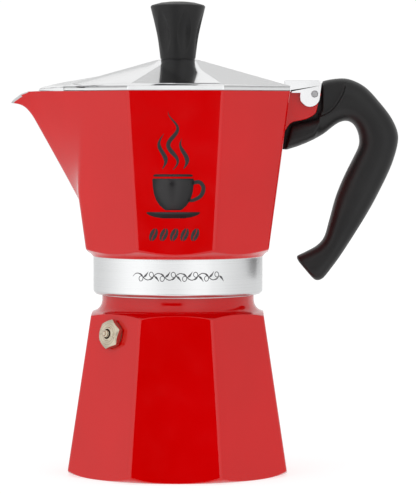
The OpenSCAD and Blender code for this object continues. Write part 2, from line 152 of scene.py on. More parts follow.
def columns_mesh(name, columns, radii, strips, materials, closed=False, steps=4):
    """A skin over columns that stand round the axis. radii rounds the corners of each column,
    and strips gives the material of the stretch after each of its points."""
    verts, faces, indices = [], [], []
    count = len(columns)
    for column in columns:
        path, owner = round_corners(column, radii, steps, closed)
        verts += path
    rows = len(path)
    strip_of = []
    for k in range(rows if closed else rows - 1):
        here, there = owner[k], owner[(k + 1) % rows]
        middle = owner.index(here) + owner.count(here) // 2
        strip_of.append(strips[here] if here != there or k >= middle else strips[here - 1])
    for i in range(count):
        a, b = i * rows, (i + 1) % count * rows
        for k, strip in enumerate(strip_of):
            up = (k + 1) % rows
            faces.append((a + k, b + k, b + up, a + up))
            indices.append(strip)
    if not closed:
        for k, strip in ((0, strip_of[0]), (rows - 1, strip_of[-1])):
            ring = [verts[i * rows + k] for i in range(count)]
            if max((p - ring[0]).length for p in ring) > 0.01:
                hub = len(verts)
                verts.append(sum(ring, Vector()) / count)
                for i in range(count):
                    faces.append((i * rows + k, (i + 1) % count * rows + k, hub))
                    indices.append(strip)
    return add_mesh(name, verts, faces, materials, indices)


def ring(keys, radii, arc_steps, edge_steps):
    """A closed outline with rounded corners, with the same number of points at any size."""
    out = []
    n = len(keys)
    for i in range(n):
        p, q = keys[i], keys[(i + 1) % n]
        before = keys[i - 1]
        out += bend(p + (before - p).normalized() * radii[i], p, p + (q - p).normalized() * radii[i],
                    arc_steps)
        start, end = out[-1], q + (p - q).normalized() * radii[(i + 1) % n]
        out += [start.lerp(end, k / edge_steps) for k in range(1, edge_steps)]
    return out


def corners(half, z, sides=8, turn=22.5):
    reach = half / math.cos(math.pi / sides)
    return [Vector((reach * math.cos(a), reach * math.sin(a), z))
            for a in (math.radians(turn) + 2 * math.pi * k / sides for k in range(sides))]


def at(direction, r, z):
    return Vector((direction.x * r, direction.y * r, z))


def crossing(station, profile, z0, z1):
    """Height at which a wall whose outline at height z is station(z) meets a turned profile,
    given as (height, radius) points: the wall is inside it at z0 and outside at z1."""
    for _ in range(40):
        middle = (z0 + z1) / 2
        p = station(middle)
        if math.hypot(p.x, p.y) < along(profile, middle):
            z0 = middle
        else:
            z1 = middle
    return z0


def turned_mesh(name, profile, radii, strips, materials, count=96, closed=False, steps=4):
    columns = [[Vector((r * math.cos(a), r * math.sin(a), z)) for r, z in profile]
               for a in (2 * math.pi * i / count for i in range(count))]
    return columns_mesh(name, columns, radii, strips, materials, closed, steps)


# ---------------------------------------------------------------- materials

class Finish:
    """A Principled material with a few node shorthands. Coordinates are the object's own."""

    def __init__(self, name, color, rough, metal=0.0, **sockets):
        self.mat = bpy.data.materials.new(name)
        self.mat.use_nodes = True
        self.tree = self.mat.node_tree
        self.shader = self.tree.nodes["Principled BSDF"]
        self.place = self.add("ShaderNodeTexCoord").outputs["Object"]
        self.set(self.shader, "Base Color", (*color, 1.0))
        self.set(self.shader, "Roughness", rough)
        self.set(self.shader, "Metallic", metal)
        for key, value in sockets.items():
            self.set(self.shader, key.replace("_", " "), value)

    def add(self, kind, **props):
        node = self.tree.nodes.new(kind)
        for key, value in props.items():
            setattr(node, key, value)
        return node

    def set(self, node, socket, value):
        if isinstance(value, bpy.types.NodeSocket):
            self.tree.links.new(value, node.inputs[socket])
        else:
            node.inputs[socket].default_value = value

    def noise(self, scale, stretch=(1, 1, 1), detail=3.0, rough=0.5):
        mapping = self.add("ShaderNodeMapping")
        self.set(mapping, "Vector", self.place)
        self.set(mapping, "Scale", tuple(scale * s for s in stretch))
        node = self.add("ShaderNodeTexNoise")
        self.set(node, "Vector", mapping.outputs[0])
        self.set(node, "Scale", 1.0)
        self.set(node, "Detail", detail)
        self.set(node, "Roughness", rough)
        return node.outputs["Fac"]

    def ramp(self, value, low, high, start=0.3, end=0.7):
        node = self.add("ShaderNodeMapRange")
        self.set(node, "Value", value)
        for socket, number in (("From Min", start), ("From Max", end), ("To Min", low), ("To Max", high)):
            self.set(node, socket, number)
        return node.outputs["Result"]

    def tint(self, value, low, high):
        node = self.add("ShaderNodeMix", data_type="RGBA")
        self.set(node, 0, value)
        self.set(node, 6, (*low, 1.0))
        self.set(node, 7, (*high, 1.0))
        self.set(self.shader, "Base Color", node.outputs[2])

    def vary_rough(self, value, low, high):
        self.set(self.shader, "Roughness", self.ramp(value, low, high))

    def bump(self, value, depth_mm, strength=1.0):
        node = self.add("ShaderNodeBump")
        self.set(node, "Height", value)
        self.set(node, "Distance", depth_mm * MM)
        self.set(node, "Strength", strength)
        last = getattr(self, "last_bump", None)
        if last:
            self.set(node, "Normal", last)
        self.last_bump = node.outputs["Normal"]
        self.set(self.shader, "Normal", self.last_bump)


def make_paint():
    f = Finish("red enamel", (0.6, 0.0, 0.0), 0.1)
    f.tint(f.ramp(f.noise(22, detail=2), 0, 1), (0.575, 0.0, 0.0), (0.625, 0.0, 0.001))
    f.vary_rough(f.noise(90), 0.06, 0.13)
    f.bump(f.noise(420, detail=1.5), 0.012, 0.5)
    f.bump(f.noise(60, detail=1), 0.05, 0.3)
    return f.mat


def make_turned(name, color, rough, lines=5200, metal=1.0):
    """Metal finished on a lathe: fine rings round the axis."""
    f = Finish(name, color, rough, metal, Anisotropic=0.75)
    tangent = f.add("ShaderNodeTangent", direction_type="RADIAL", axis="Z")
    f.set(f.shader, "Tangent", tangent.outputs[0])
    rings = f.noise(1, (3, 3, lines), detail=2)
    f.vary_rough(rings, rough * 0.85, rough * 1.2)
    f.tint(f.ramp(f.noise(1, (8, 8, lines / 3)), 0, 1), tuple(0.97 * c for c in color), color)
    f.bump(rings, 0.004, 0.6)
    return f.mat


def make_cast(name, color, rough, grain=700, depth=0.02, metal=1.0):
    """Cast or blasted metal: matt, with a fine even grain."""
    f = Finish(name, color, rough, metal)
    f.tint(f.ramp(f.noise(35), 0, 1), tuple(0.88 * c for c in color), color)
    f.vary_rough(f.noise(160), rough * 0.85, rough * 1.15)
    f.bump(f.noise(grain, detail=3), depth, 0.6)
    return f.mat


def make_sheet():
    """Polished aluminium of the lid, brushed faintly from side to side."""
    f = Finish("polished aluminium", (0.91, 0.915, 0.925), 0.14, 1.0)
    f.vary_rough(f.noise(1, (60, 2600, 60), detail=2), 0.1, 0.17)
    f.tint(f.ramp(f.noise(18), 0, 1), (0.88, 0.885, 0.895), (0.94, 0.945, 0.95))
    f.bump(f.noise(1, (90, 3200, 90), detail=2), 0.0015, 0.5)
    f.bump(f.noise(55, detail=1), 0.02, 0.35)
    return f.mat


def make_plastic():
    """Black phenolic moulding with a soft sheen, its roughness varying at random across it."""
    f = Finish("black phenolic", (0.013, 0.013, 0.0135), 0.38, Specular_IOR_Level=0.27)
    f.tint(f.ramp(f.noise(40), 0, 1), (0.011, 0.011, 0.0115), (0.016, 0.0158, 0.016))
    f.vary_rough(f.noise(120), 0.36, 0.46)
    f.bump(f.noise(1500, detail=2), 0.01, 0.5)
    f.bump(f.noise(90, detail=1), 0.05, 0.2)
    return f.mat


def make_dull(name, color, rough, grain=900, depth=0.03):
    """Rubber or fibre: matt, mottled and slightly rough."""
    f = Finish(name, color, rough)
    f.tint(f.ramp(f.noise(130), 0, 1), tuple(0.82 * c for c in color), color)
    f.vary_rough(f.noise(200), rough * 0.9, min(1.0, rough * 1.1))
    f.bump(f.noise(grain), depth, 0.7)
    return f.mat


PAINT = make_paint()
COLLAR = make_turned("turned aluminium", (0.87, 0.88, 0.885), 0.3)
BARE = make_cast("cast aluminium", (0.72, 0.72, 0.73), 0.42)
SPUN = make_cast("spun aluminium", (0.76, 0.76, 0.77), 0.3, 1500, 0.008)
SHEET = make_sheet()
PLASTIC = make_plastic()
NICKEL = make_cast("plated brass", (0.66, 0.58, 0.45), 0.24, 1400, 0.01)
BRASS = make_cast("brass", (0.62, 0.45, 0.2), 0.3)
STEEL = make_cast("stainless steel", (0.56, 0.56, 0.57), 0.28, 1800, 0.006)
FIBRE = make_dull("red fibre", (0.2, 0.035, 0.02), 0.8)
RUBBER = make_dull("seal rubber", (0.62, 0.59, 0.5), 0.62)
INK = make_dull("black print", (0.006, 0.005, 0.006), 0.3, 1500, 0.003)
# Engraved lines: a dark grey that is painted shade, standing in for the shade inside engraved grooves.
ENGRAVED_SHADE = make_dull("engraved line painted shade", (0.09, 0.09, 0.095), 0.55, 2000, 0.01)


# ---------------------------------------------------------------- boiler

FOOT_HALF, SHOULDER_HALF, SHOULDER_Z = 50.0, 39.0, 74.0
THREAD_PITCH = 3.0


def octagon_half(z):
    return mix(FOOT_HALF, SHOULDER_HALF, z / SHOULDER_Z)


def helix(root, crest, first_z, low, high, z, direction):
    """Radius of a screw thread at height z and direction: a rounded ridge that climbs once a pitch."""
    turn = (z - first_z) / THREAD_PITCH - math.atan2(direction.y, direction.x) / (2 * math.pi)
    ridge = smooth(0.2, 0.42, 0.5 - abs(turn % 1.0 - 0.5))
    fade = smooth(low, low + 1.4, z) * (1 - smooth(high - 1.4, high, z))
    return mix(root, crest, ridge * fade)


def make_boiler():
    arc_steps, edge_steps = 4, 9
    rounding = [1.3] * 8
    low = ring(corners(FOOT_HALF, 0), rounding, arc_steps, edge_steps)
    high = ring(corners(SHOULDER_HALF, SHOULDER_Z), rounding, arc_steps, edge_steps)
    inner_low = ring(corners(octagon_half(8) - 3.4, 8), [6] * 8, arc_steps, edge_steps)
    inner_high = ring(corners(octagon_half(60) - 3.4, 60), [6] * 8, arc_steps, edge_steps)
    foot = [(0, 49), (0.35, 50.3), (0.9, 51.5), (2, 53), (3.4, 54.4), (10, 58)]
    shoulder = spline([(60, 54.5), (69.4, 47), (71.4, 44.2), (72.6, 42), (73.3, 40.5), (73.8, 39.1),
                       (74.1, 38.2)], 6)
    cove = [(36.9, 74.7), (35.8, 75.8), (35.05, 77.2), (34.7, 79)]
    thread_z = [81.4 + 0.25 * k for k in range(41)]
    columns = []
    for a, b, c, d in zip(low, high, inner_low, inner_high):
        def wall(z):
            return a.lerp(b, z / SHOULDER_Z)
        z_low = crossing(wall, foot, 5, 0)
        z_high = crossing(wall, shoulder + [(76, 34)], 60, 76)
        low_way = wall(z_low).xy.normalized()
        way = wall(z_high).xy.normalized()
        column = [at(low_way, 41, 0.5), at(low_way, 42.5, 0), at(low_way, 49, 0)]
        column += [at(low_way, along(foot, z_low * t), z_low * t) for t in (0.33, 0.66)]
        column += [wall(mix(z_low, z_high, t)) for t in (0, 0.2, 0.4, 0.6, 0.8, 1)]
        column += [at(way, along(shoulder, z), z) for z in (mix(z_high, 74.1, t) for t in (0.25, 0.5, 0.75,
                                                                                           1))]
        column += [at(way, r, z) for r, z in cove]
        column += [at(way, 34.7, 80.8)]
        column += [at(way, helix(34.7, 35.7, 83.6, 82, 91.2, z, way), z) for z in thread_z]
        column += [at(way, r, z) for r, z in ((34.2, 92), (32, 92), (32, 77), (33, 72), (36, 66))]
        column += [d, c, at(low_way, 41, 3.6)]
        columns.append(column)
    count = len(columns[0])
    radii = [0.0] * count
    neck = 3 + 2 + 6 + 4 + len(cove)
    for i, r in ((1, 0.3), (2, 0.3), (5, 0.7), (10, 0.8), (14, 0.3), (neck + 42, 0.3), (neck + 43, 0.3),
                 (count - 3, 6), (count - 2, 5)):
        radii[i] = r
    strips = [1] * 2 + [0] * (neck - 1) + [1] * (count - neck - 1)
    return columns_mesh("boiler_shell", columns, radii, strips, [PAINT, BARE])


# ---------------------------------------------------------------- collector

LOW_Z, LOW_HALF, RIM_Z, RIM_HALF = 100.6, 41.2, 174.2, 51.0
FOLD_Z = 129.0
LIP_V = 0.72
KEEL_LIP = spline([(66.5, 161.8), (68.1, 164.2), (70.5, 166.8), (73.3, 168.25), (77.2, 168.9)], 6)
RIM_LINE = [(-76.3, 168.9), (-74.9, 170.6), (-72.6, 172.2), (-70.7, 173.3), (-68.6, 174.0), (-64.0, RIM_Z)]


def body_half(z):
    return mix(LOW_HALF, RIM_HALF, (z - LOW_Z) / (RIM_Z - LOW_Z))


def with_keel(keys, keel):
    return keys[:4] + [keel] + keys[4:]


def low_keys(z, inset):
    half = body_half(z) - inset
    return with_keel(corners(half, z), Vector((-half, 0, z)))


def high_keys(v, inset):
    """Outline at v, from 0 where the spout begins to 1 at the rim; its keel is at another height."""
    z = mix(FOLD_Z, RIM_Z, v)
    keys = corners(body_half(z) - inset, z)
    fold_x = mix(body_half(FOLD_Z), 41.2, v) - 0.4 * inset
    fold_y = math.sqrt(2) * (body_half(z) - inset) - fold_x
    keys[3], keys[4] = Vector((-fold_x, fold_y, z)), Vector((-fold_x, -fold_y, z))
    if v < LIP_V:
        reach, keel_z = mix(44.3, 66.5, v / LIP_V), mix(122.5, 161.8, v / LIP_V)
    else:
        k = (v - LIP_V) / (1 - LIP_V) * (len(KEEL_LIP) - 1)
        i = min(int(k), len(KEEL_LIP) - 2)
        reach, keel_z = (mix(p, q, k - i) for p, q in zip(KEEL_LIP[i], KEEL_LIP[i + 1]))
    if inset:
        near_tip = smooth(0.7, 1, v)
        reach -= mix(2.9, 1.6, near_tip)
        keel_z += mix(1.6, 1.1, near_tip)
    return with_keel(keys, Vector((-reach, 0, keel_z)))


def raise_rim(rings, steps_v):
    """Bends the top of the spout's sides up to the rim line."""
    top = [along(RIM_LINE, p.x) - p.z if p.x < -41.5 else 0 for p in rings[-1]]
    for points, v in zip(rings, steps_v):
        for p, rise in zip(points, top):
            p.z += rise * v ** 7
    return rings


# Bare metal of the spout: its rim from LIP_START outwards, LIP_DEPTH down, and all of it beyond LIP_TIP
LIP_START, LIP_TIP, LIP_DEPTH = -68.5, -75.2, 1.5


def make_collector():
    arc_steps, edge_steps, wall = 4, 9, 2.5
    steps_v = [0, 0.1, 0.2, 0.3, 0.4, 0.5, 0.58, 0.66, 0.72, 0.77, 0.81, 0.85, 0.88, 0.91, 0.935, 0.955,
               0.975, 0.99, 1]
    outer_round = [1.3] * 9
    outer_round[3], outer_round[4], outer_round[5] = 2.2, 2.4, 2.2
    inner_round = [3.0] * 4 + [2.0] + [3.0] * 4

    def rings(inset, rounding):
        low = [ring(low_keys(z, inset), rounding, arc_steps, edge_steps) for z in (99, FOLD_Z)]
        high = [ring(high_keys(v, inset), rounding, arc_steps, edge_steps) for v in steps_v]
        return low, raise_rim(high, steps_v)

    (low_a, low_b), high = rings(0, outer_round)
    (in_a, in_b), in_high = rings(wall, inner_round)
    flare = spline([(99.4, 39.25), (100.2, 39.9), (101.1, 41.3), (102.1, 43.3), (103.5, 46.2), (110, 57)], 6)
    floor = [(104, 35.5), (105, 37.2), (108, 39.6), (115, 43), (130, 52)]
    thread_z = [83 + 0.25 * k for k in range(53)]
    columns = []
    for j in range(len(low_a)):
        def wall_out(z):
            return low_a[j].lerp(low_b[j], (z - 99) / (FOLD_Z - 99))

        def wall_in(z):
            return in_a[j].lerp(in_b[j], (z - 99) / (FOLD_Z - 99))
        z_out = crossing(wall_out, [(90, 30)] + flare, 110, 99.6)
        z_in = crossing(wall_in, floor, 125, 104.2)
        start_out, start_in = wall_out(z_out), wall_in(z_in)
        way, way_in = start_out.xy.normalized(), start_in.xy.normalized()
        column = [at(way_in, 6.25, 104), at(way_in, 34, 104)]
        column += [at(way_in, along(floor, z), z) for z in (mix(104.1, z_in, t) for t in (0, 0.35, 0.7))]
        column += [start_in.lerp(in_high[0][j], t) for t in (0, 0.5)]
        column += [points[j] for points in in_high]
        column += [points[j] for points in reversed(high)]
        column += [start_out.lerp(high[0][j], t) for t in (0.66, 0.33, 0)]
        column += [at(way, along(flare, z), z) for z in (mix(z_out, 99.4, t) for t in (0.25, 0.5, 0.75, 1))]
        column += [at(way, r, z) for r, z in (
            (38.75, 99.0), (38.7, 98.5), (38.7, 90), (38.7, 83.3), (37.6, 82), (37.1, 82), (36.6, 82.6))]
        column += [at(way, helix(36.6, 35.85, 85.1, 83, 95.6, z, way), z) for z in thread_z]
        column += [at(way, r, z) for r, z in (
            (36.6, 96.75), (31.3, 96.75), (31.3, 97.55), (27, 97.55), (7.2, 100.8), (6.25, 100.8))]
        columns.append(column)
    count = len(columns[0])
    inner_top = 1 + 1 + 3 + 2 + len(steps_v) - 1
    outer_top = inner_top + 1
    facet_end = outer_top + len(steps_v) + 2
    collar_top = facet_end + 5
    radii = [0.0] * count
    for i, r in ((inner_top, 0.5), (outer_top, 0.45), (outer_top + len(steps_v) - 1, 3.0), (facet_end, 0.9),
                 (facet_end + 4, 0.25), (collar_top + 3, 0.4), (1, 1.5), (5, 1.0)):
        radii[i] = r
    strips = [2] * outer_top + [0] * (collar_top - outer_top) + [1] * (count - collar_top)
    shell = columns_mesh("collector_shell", columns, radii, strips, [PAINT, COLLAR, BARE], closed=True)
    for f in shell.data.polygons:
        x, _, z = f.center / MM
        if x < LIP_START and z > along(RIM_LINE, x) - LIP_DEPTH * smooth(68, 72, -x) or x < LIP_TIP:
            f.material_index = 2
    return shell


def prism(outline, y0, y1):
    """Vertices and faces of an XZ outline between two y."""
    n = len(outline)
    verts = [(x, y, z) for y in (y0, y1) for x, z in outline]
    faces = [tuple(range(n)), tuple(range(2 * n - 1, n - 1, -1))]
    faces += [(i, i + n, (i + 1) % n + n, (i + 1) % n) for i in range(n)]
    return verts, faces


def arc(centre, r, start, end, steps):
    return [(centre[0] + r * math.cos(a), centre[1] + r * math.sin(a))
            for a in (math.radians(mix(start, end, k / steps)) for k in range(steps + 1))]


def both_sides(outline, y0, y1):
    verts, faces = prism(outline, y0, y1)
    more, _ = prism(outline, -y1, -y0)
    return verts + more, faces + [tuple(i + len(verts) for i in f) for f in faces]


HINGE = (62.2, 172.9)
COLLAR_R = 38.7
EMBLEM_X = -1.2


def make_lug():
    outline = [(46, 156), (48.8, 156), (50.0, 158), (51.2, 159.6), (52.8, 160.4), (55.9, 160.9),
               (58.6, 161.6),
               (61.1, 162.8), (62.9, 164.3), (63.4, 166.4)]
    outline += arc(HINGE, 2.9, -40, 90, 10) + [(56, 174), (46, 174)]
    lug = add_mesh("hinge_lug", *both_sides(outline, 4.15, 7.4), [PAINT], weighted=False)
    soften(lug, 0.45, 3)
    return lug


# ---------------------------------------------------------------- lid, knob and handle

def cad_copy(name, node, material, width, segments=3):
    """The CAD shape with its flat faces made whole and its edges softened."""
    mesh = nodes[node].data.copy()
    mesh.name = name
    mesh.materials.clear()
    mesh.materials.append(material)
    bm = bmesh.new()
    bm.from_mesh(mesh)
    bmesh.ops.remove_doubles(bm, verts=bm.verts, dist=2e-6)
    bmesh.ops.dissolve_limit(bm, angle_limit=math.radians(1.5), verts=bm.verts, edges=bm.edges)
    for f in bm.faces:
        f.smooth = abs(f.normal.y) < 0.999      # the ears' flat sides keep their own normal
        f.material_index = 0
    bm.to_mesh(mesh)
    bm.free()
    for name_of_normals in [a.name for a in mesh.attributes if a.name == "custom_normal"]:
        mesh.attributes.remove(mesh.attributes[name_of_normals])
    obj = bpy.data.objects.new(name, mesh)
    bpy.context.scene.collection.objects.link(obj)
    soften(obj, width, segments)
    return obj


KNOB_Z = 188.6


def make_knob():
    side = spline([(0.6, 8.0), (6, 8.7), (12, 9.75), (18, 11.0), (21.6, 11.9), (24.1, 12.5)], 8)
    rows = [side[0][0] + (24.1 - side[0][0]) * k / 54 for k in range(55)]
    columns = []
    count = 240
    for i in range(count):
        a = 2 * math.pi * i / count
        way = Vector((math.cos(a), math.sin(a)))
        off = (math.degrees(a) + 70 + 30) % 60 - 30
        column = [at(way, 3.3, KNOB_Z), at(way, 7.5, KNOB_Z)]
        for h in rows:
            r = along(side, h)
            t = min(max((h - 2.6) / 20.2, 0), 1)
            half = 3.3 * math.sin(math.pi * t ** 0.9) ** 0.62 if 0 < t < 1 else 0
            scoop = max(0.0, half * half - (math.radians(off) * r) ** 2) / 6.5
            column.append(at(way, r - scoop, KNOB_Z + h))
        column += [at(way, r, KNOB_Z + h) for r, h in ((12.0, 24.8), (10.3, 25.3), (7.6, 26.0), (4, 26.4),
                                                       (1, 26.5))]
        columns.append(column)
    radii = [0.0] * len(columns[0])
    radii[1], radii[56], radii[57] = 0.3, 0.5, 0.5
    return columns_mesh("knob_grip", columns, radii, [0] * len(radii), [PLASTIC])


RUNGS = [
    ((49.1, 147.4), (52.3, 159.2), 9.2), ((54.3, 149.0), (56.6, 160.2), 9.6),
    ((58.4, 150.6), (60.6, 161.0), 10.0), ((61.9, 152.2), (64.6, 162.4), 10.4),
    ((64.8, 153.8), (66.0, 178.8), 10.8), ((67.4, 155.5), (70.0, 179.7), 10.8),
    ((71.4, 158.7), (76.0, 180.1), 10.8), ((74.6, 160.4), (81.0, 178.7), 10.8),
    ((77.6, 160.6), (86.1, 175.6), 10.8), ((80.2, 159.1), (91.6, 169.7), 10.7),
    ((82.0, 155.9), (97.1, 162.6), 10.6), ((82.8, 151.9), (100.2, 155.8), 10.4),
    ((82.2, 148.4), (100.2, 149.8), 10.4), ((79.7, 143.2), (97.5, 140.6), 10.4),
    ((75.6, 134.9), (93.0, 130.8), 10.4), ((72.0, 125.9), (87.1, 119.6), 10.0),
    ((69.1, 115.4), (79.8, 107.7), 9.4), ((66.9, 107.9), (74.0, 98.8), 8.8),
    ((63.8, 104.1), (69.9, 93.2), 8.4), ((59.4, 101.5), (66.4, 88.9), 8.0),
    ((54.4, 99.1), (64.0, 87.8), 7.4)]
CHEEK_ROOM = [(40, 157), (51.9, 159), (56, 160.1), (60, 161.3), (62.2, 162.4), (64.1, 163.4), (65.3, 164.5),
              (66, 166), (66, 190), (40, 190)]
EAR_ROOM = [(40, 157), (51.9, 159), (56, 160.1), (60, 161.3), (65, 162.6), (67.6, 163.7), (69.8, 165.1),
            (71.8, 167.2),
            (73.3, 169.5), (74.6, 171.6), (75.6, 173.8), (76.2, 176), (76.3, 190), (40, 190)]


def make_handle():
    """Lofted grip with room cut for the lug and the lid's ears, then remeshed so that every edge is soft."""
    flat = [(*inner, *outer, half) for inner, outer, half in RUNGS]
    path = flat[:5] + spline(flat[4:], 5)[1:]
    sides, power = 48, 0.8
    verts, faces = [], []

    def add_ring(x0, z0, x1, z1, half, shrink=1.0, push=(0, 0)):
        middle, reach = ((x0 + x1) / 2, (z0 + z1) / 2), ((x1 - x0) / 2, (z1 - z0) / 2)
        for k in range(sides):
            c, s = math.cos(2 * math.pi * k / sides), math.sin(2 * math.pi * k / sides)
            u = math.copysign(abs(c) ** power, c) * shrink
            v = math.copysign(abs(s) ** power, s) * shrink
            verts.append((middle[0] + reach[0] * u + push[0], v * half, middle[1] + reach[1] * u + push[1]))

    for section in path:
        add_ring(*section)
    end = path[-1]
    add_ring(*end, shrink=0.86, push=(-0.7, -0.55))
    add_ring(*end, shrink=0.6, push=(-0.9, -0.7))
    rings = len(verts) // sides
    for i in range(rings - 1):
        for k in range(sides):
            m = (k + 1) % sides
            faces.append((i * sides + k, i * sides + m, (i + 1) * sides + m, (i + 1) * sides + k))
    faces += [tuple(range(sides)), tuple(range((rings - 1) * sides, rings * sides))]
    body = add_mesh("handle_grip", verts, faces, [PLASTIC], weighted=False)
    tongue = [(47.2, 147.5), (48.8, 159), (50.2, 166.5)] + arc(HINGE, 4.6, 160, 90, 8)
    tongue += [(66.6, 177.2), (70, 170), (66, 156), (56, 150)]
    tools = [("DIFFERENCE", both_sides(CHEEK_ROOM, 4.0, 24)), ("DIFFERENCE", both_sides(EAR_ROOM, 7.45, 24)),
             ("UNION", prism(tongue, -4.0, 4.0))]
    cutters = []
    for k, (operation, (tool_verts, tool_faces)) in enumerate(tools):
        cutter = add_mesh("cutter", tool_verts, tool_faces, [PLASTIC], weighted=False)
        cutters.append(cutter)
        step = body.modifiers.new(f"step {k}", "BOOLEAN")
        step.operation, step.object, step.solver = operation, cutter, "EXACT"
    even = body.modifiers.new("even skin", "REMESH")
    even.mode, even.voxel_size = "VOXEL", 0.55 * MM
    soft = body.modifiers.new("soft edges", "SMOOTH")
    soft.factor, soft.iterations = 0.5, 6
    bpy.context.view_layer.update()
    mesh = bpy.data.meshes.new_from_object(body.evaluated_get(bpy.context.evaluated_depsgraph_get()))
    for obj in cutters:
        bpy.data.objects.remove(obj)
    body.modifiers.clear()
    body.data = mesh
    for f in mesh.polygons:
        f.use_smooth = True
    return body


# ---------------------------------------------------------------- safety valve

VALVE_Z, VALVE_STAND = 65.4, 3.6


def valve_frame():
    """Middle of the valve's outer face, in mm, and the way it points."""
    tilt = math.atan((FOOT_HALF - SHOULDER_HALF) / SHOULDER_Z)
    out = Vector((-math.cos(tilt) * math.sqrt(0.5), -math.cos(tilt) * math.sqrt(0.5), math.sin(tilt)))
    reach = octagon_half(VALVE_Z) + VALVE_STAND / math.cos(tilt)
    return Vector((-reach * math.sqrt(0.5), -reach * math.sqrt(0.5), VALVE_Z)), out


def place_valve(obj):
    """Turns a piece drawn along +Z, outer face at zero, into its place on the left front facet."""
    spot, out = valve_frame()
    across = Vector((math.sqrt(0.5), -math.sqrt(0.5), 0))
    upright = out.cross(across)
    for v in obj.data.vertices:
        p = v.co.copy()
        v.co = spot * MM + across * p.x + upright * p.y + out * p.z
    return obj


def make_valve_body():
    low = ring(corners(6, -3, 6, 20), [0.5] * 6, 2, 6)
    bevel = [(-3, 10), (-1.45, 7.6), (0, 5.2)]
    columns = []
    for p in low:
        z = crossing(lambda height: p, bevel, -3, 0)
        way = p.xy.normalized()
        column = [at(way, r, h) for r, h in (
            (2.2, -1.8), (2.2, 0.4), (2.9, 0.4), (3.2, -0.15), (3.7, -0.15), (3.9, 0.05), (4.5, 0.05),
            (4.6, -0.2),
            (4.9, -0.2), (5.0, 0), (5.3, 0))]
        column += [Vector((p.x, p.y, z)), Vector((p.x, p.y, -3)), at(way, 5.6, -3), at(way, 5.2, -3.6),
                   at(way, 4.6, -3.6),
                   at(way, 4.6, -10.2), at(way, 3.1, -10.2), at(way, 3.1, -1.8)]
        columns.append(column)
    radii = [0.0, 0.2, 0.2, 0.1, 0.1, 0.08, 0.08, 0, 0, 0.08, 0.1, 0.2, 0.2] + [0.0] * 6
    return place_valve(columns_mesh("valve_hexagon", columns, radii, [0] * 19, [NICKEL], closed=True,
                                    steps=2))


def make_valve_pin():
    profile = [(0.25, 2.8), (0.75, 2.72), (1.1, 2.35), (1.1, 1.75), (1.3, 1.6), (1.62, 1.5), (1.62, 0.9),
               (1.45, 0.75),
               (1.62, 0.6), (1.62, -7.9), (2.8, -7.9), (2.8, -9.15), (0.3, -9.15)]
    radii = [0, 0.25, 0.2, 0.05, 0.08, 0.1, 0.08, 0.1, 0.08, 0.1, 0.15, 0.15, 0]
    return place_valve(turned_mesh("valve_pin_tip", profile, radii, [0] * len(profile), [NICKEL], 48,
                                   steps=2))


# ---------------------------------------------------------------- printed emblem and engraved ornament

def on_facet(u, z, lift):
    """Point of the collector's front facet, u to the right of its middle."""
    return Vector((u, -body_half(z) - lift, z))


def on_collar(u, z, lift):
    a = u / COLLAR_R
    return Vector(((COLLAR_R + lift) * math.sin(a), -(COLLAR_R + lift) * math.cos(a), z))


def ribbon(path, widths):
    """Left and right edges of a stroke along a path of (u, z)."""
    left, right = [], []
    last = len(path) - 1
    for i, (u, z) in enumerate(path):
        a, b = Vector(path[max(i - 1, 0)]), Vector(path[min(i + 1, last)])
        way = (b - a).normalized()
        w = along(widths, i / last) / 2
        left.append((u - way.y * w, z + way.x * w))
        right.append((u + way.y * w, z - way.x * w))
    return left, right


def raised(name, strips, place, lift, material):
    """Thin closed solids on a surface, one for each pair of left and right edges."""
    verts, faces = [], []
    for left, right in strips:
        first = len(verts)
        for a, b in zip(left, right):
            verts += [place(*a, -0.1), place(*b, -0.1), place(*b, lift), place(*a, lift)]
        for k in range(first, len(verts) - 4, 4):
            faces += [(k + i, k + (i + 1) % 4, k + 4 + (i + 1) % 4, k + 4 + i) for i in range(4)]
        last = len(verts) - 4
        faces += [tuple(first + i for i in (3, 2, 1, 0)), tuple(last + i for i in range(4))]
    return add_mesh(name, verts, faces, [material], weighted=False)


def slices(outline):
    """Left and right edges from (z, left, right) rows."""
    return [(a, z) for z, a, b in outline], [(b, z) for z, a, b in outline]


def bean(u, z, half_w, half_h, lean):
    """A coffee bean: two halves with a wavy gap between them."""
    halves = []
    for side in (-1, 1):
        inner, outer = [], []
        for k in range(13):
            t = mix(-0.97, 0.97, k / 12)
            wave = 0.16 * half_w * math.sin(math.pi * t)
            p, q = wave + side * 0.09 * half_w, side * half_w * math.sqrt(1 - t * t)
            if side * (q - p) < 0.02:
                q = p + side * 0.02
            for edge, x in ((inner, p), (outer, q)):
                edge.append((u + x + lean * half_h * t, z + half_h * t))
        halves.append((inner, outer) if side > 0 else (outer, inner))
    return halves


